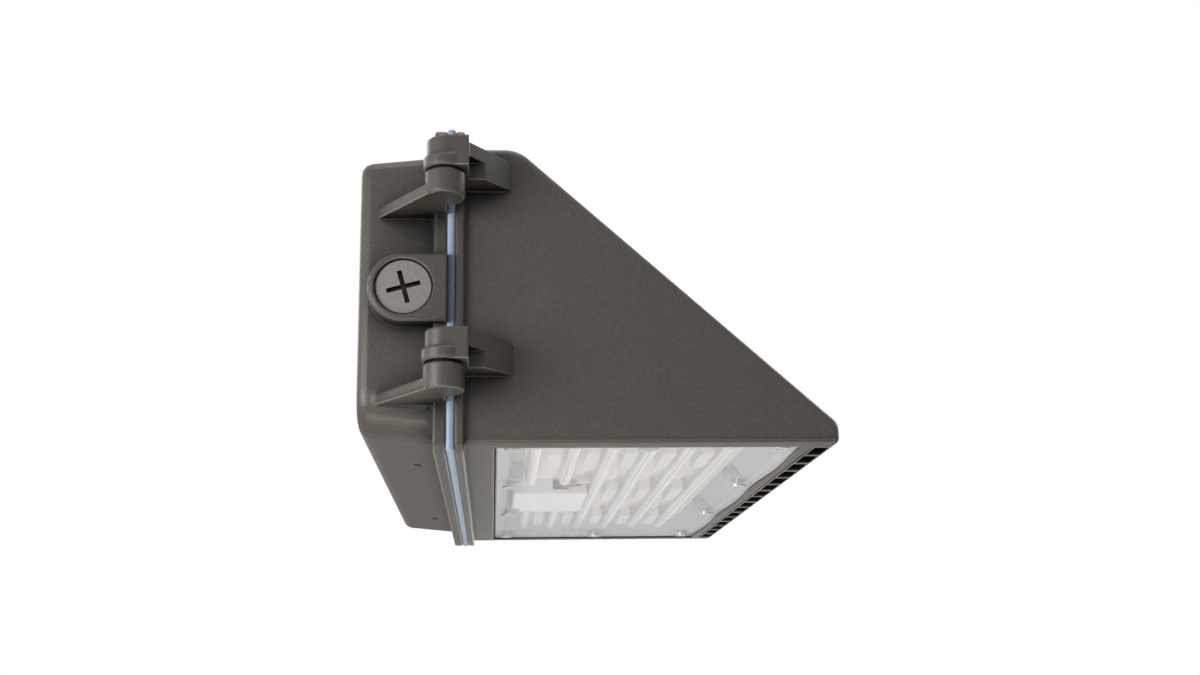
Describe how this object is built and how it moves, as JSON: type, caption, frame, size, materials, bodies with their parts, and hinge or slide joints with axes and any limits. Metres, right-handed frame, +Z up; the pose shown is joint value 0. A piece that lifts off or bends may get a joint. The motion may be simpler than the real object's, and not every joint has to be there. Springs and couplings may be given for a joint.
{
  "type": "wall pack light",
  "caption": "Full cutoff LED wall light: wiring box with side conduit entries and a hinged die-cast wedge housing whose underside holds the lens, with a row of moulded vents.",
  "frame": {"origin": "middle of the flange width and height, on the wall face of the wiring box", "axes": "+X along the wall, away from the hinges; +Y into the wall, so the front looks along -Y; +Z up"},
  "size_m": [0.4052, 0.2195, 0.1546],
  "materials": {
    "powder_coat": "textured powder coat, dark bronze",
    "silicone": "matt moulded silicone, pale blue grey",
    "zinc": "bare satin casting",
    "stainless": "plain stainless fastener",
    "green_screw": "green ground screw",
    "nylon": "black nylon",
    "lens_clear": "clear, lightly frosted polycarbonate",
    "optic_clear": "clear acrylic extrusion",
    "white_paint": "matt white reflector paint",
    "white_plastic": "matt white plastic",
    "board": "white solder mask on aluminium board",
    "chip": "yellow phosphor",
    "lead": "insulated lead",
    "sheet": "mill finish sheet",
    "driver_case": "white painted steel can",
    "terminal": "cream nylon"
  },
  "bodies": {
    "wall_box": {"back_box": "powder_coat", "box_gasket": "silicone", "plug_left": "zinc", "plug_right": "zinc", "hinge_pin_lower": "stainless", "hinge_pin_upper": "stainless", "hinge_washer_lower": "nylon", "hinge_washer_upper": "nylon", "ground_screw": "green_screw"},
    "door": {"lamp_housing": "powder_coat", "lens": "lens_clear", "lens_gasket": "silicone", "lens_screws": "stainless", "reflector_tray": "white_paint", "led_board": "board", "led_chips": "chip", "optic_bar_1_left": "optic_clear", "optic_bar_1_right": "optic_clear", "optic_bar_2_left": "optic_clear", "optic_bar_2_right": "optic_clear", "optic_bar_3": "optic_clear", "optic_bar_4": "optic_clear", "optic_bar_5": "optic_clear", "optic_bar_6": "optic_clear", "bar_clips": "optic_clear", "wire_cover": "white_plastic", "led_leads": "lead", "lead_connector": "white_plastic", "lead_grommet": "nylon", "heat_spreader": "sheet", "spreader_screws": "stainless", "driver_bracket": "sheet", "led_driver": "driver_case", "driver_screws": "stainless", "terminal_block": "terminal"},
    "closing_screw_lower": {"closing_screw_lower": "stainless"},
    "closing_screw_upper": {"closing_screw_upper": "stainless"}
  },
  "joints": [
    {"name": "door_hinge", "type": "hinge", "parent": "wall_box", "child": "door", "pos_m": [-0.2004, -0.0407, 0], "axis": [0, 0, -1], "range_deg": [0, 100]},
    {"name": "closing_screw_lower_slide", "type": "slide", "parent": "door", "child": "closing_screw_lower", "axis": [0, -1, 0], "range_m": [0, 0.01]},
    {"name": "closing_screw_upper_slide", "type": "slide", "parent": "door", "child": "closing_screw_upper", "axis": [0, -1, 0], "range_m": [0, 0.01]}
  ]
}
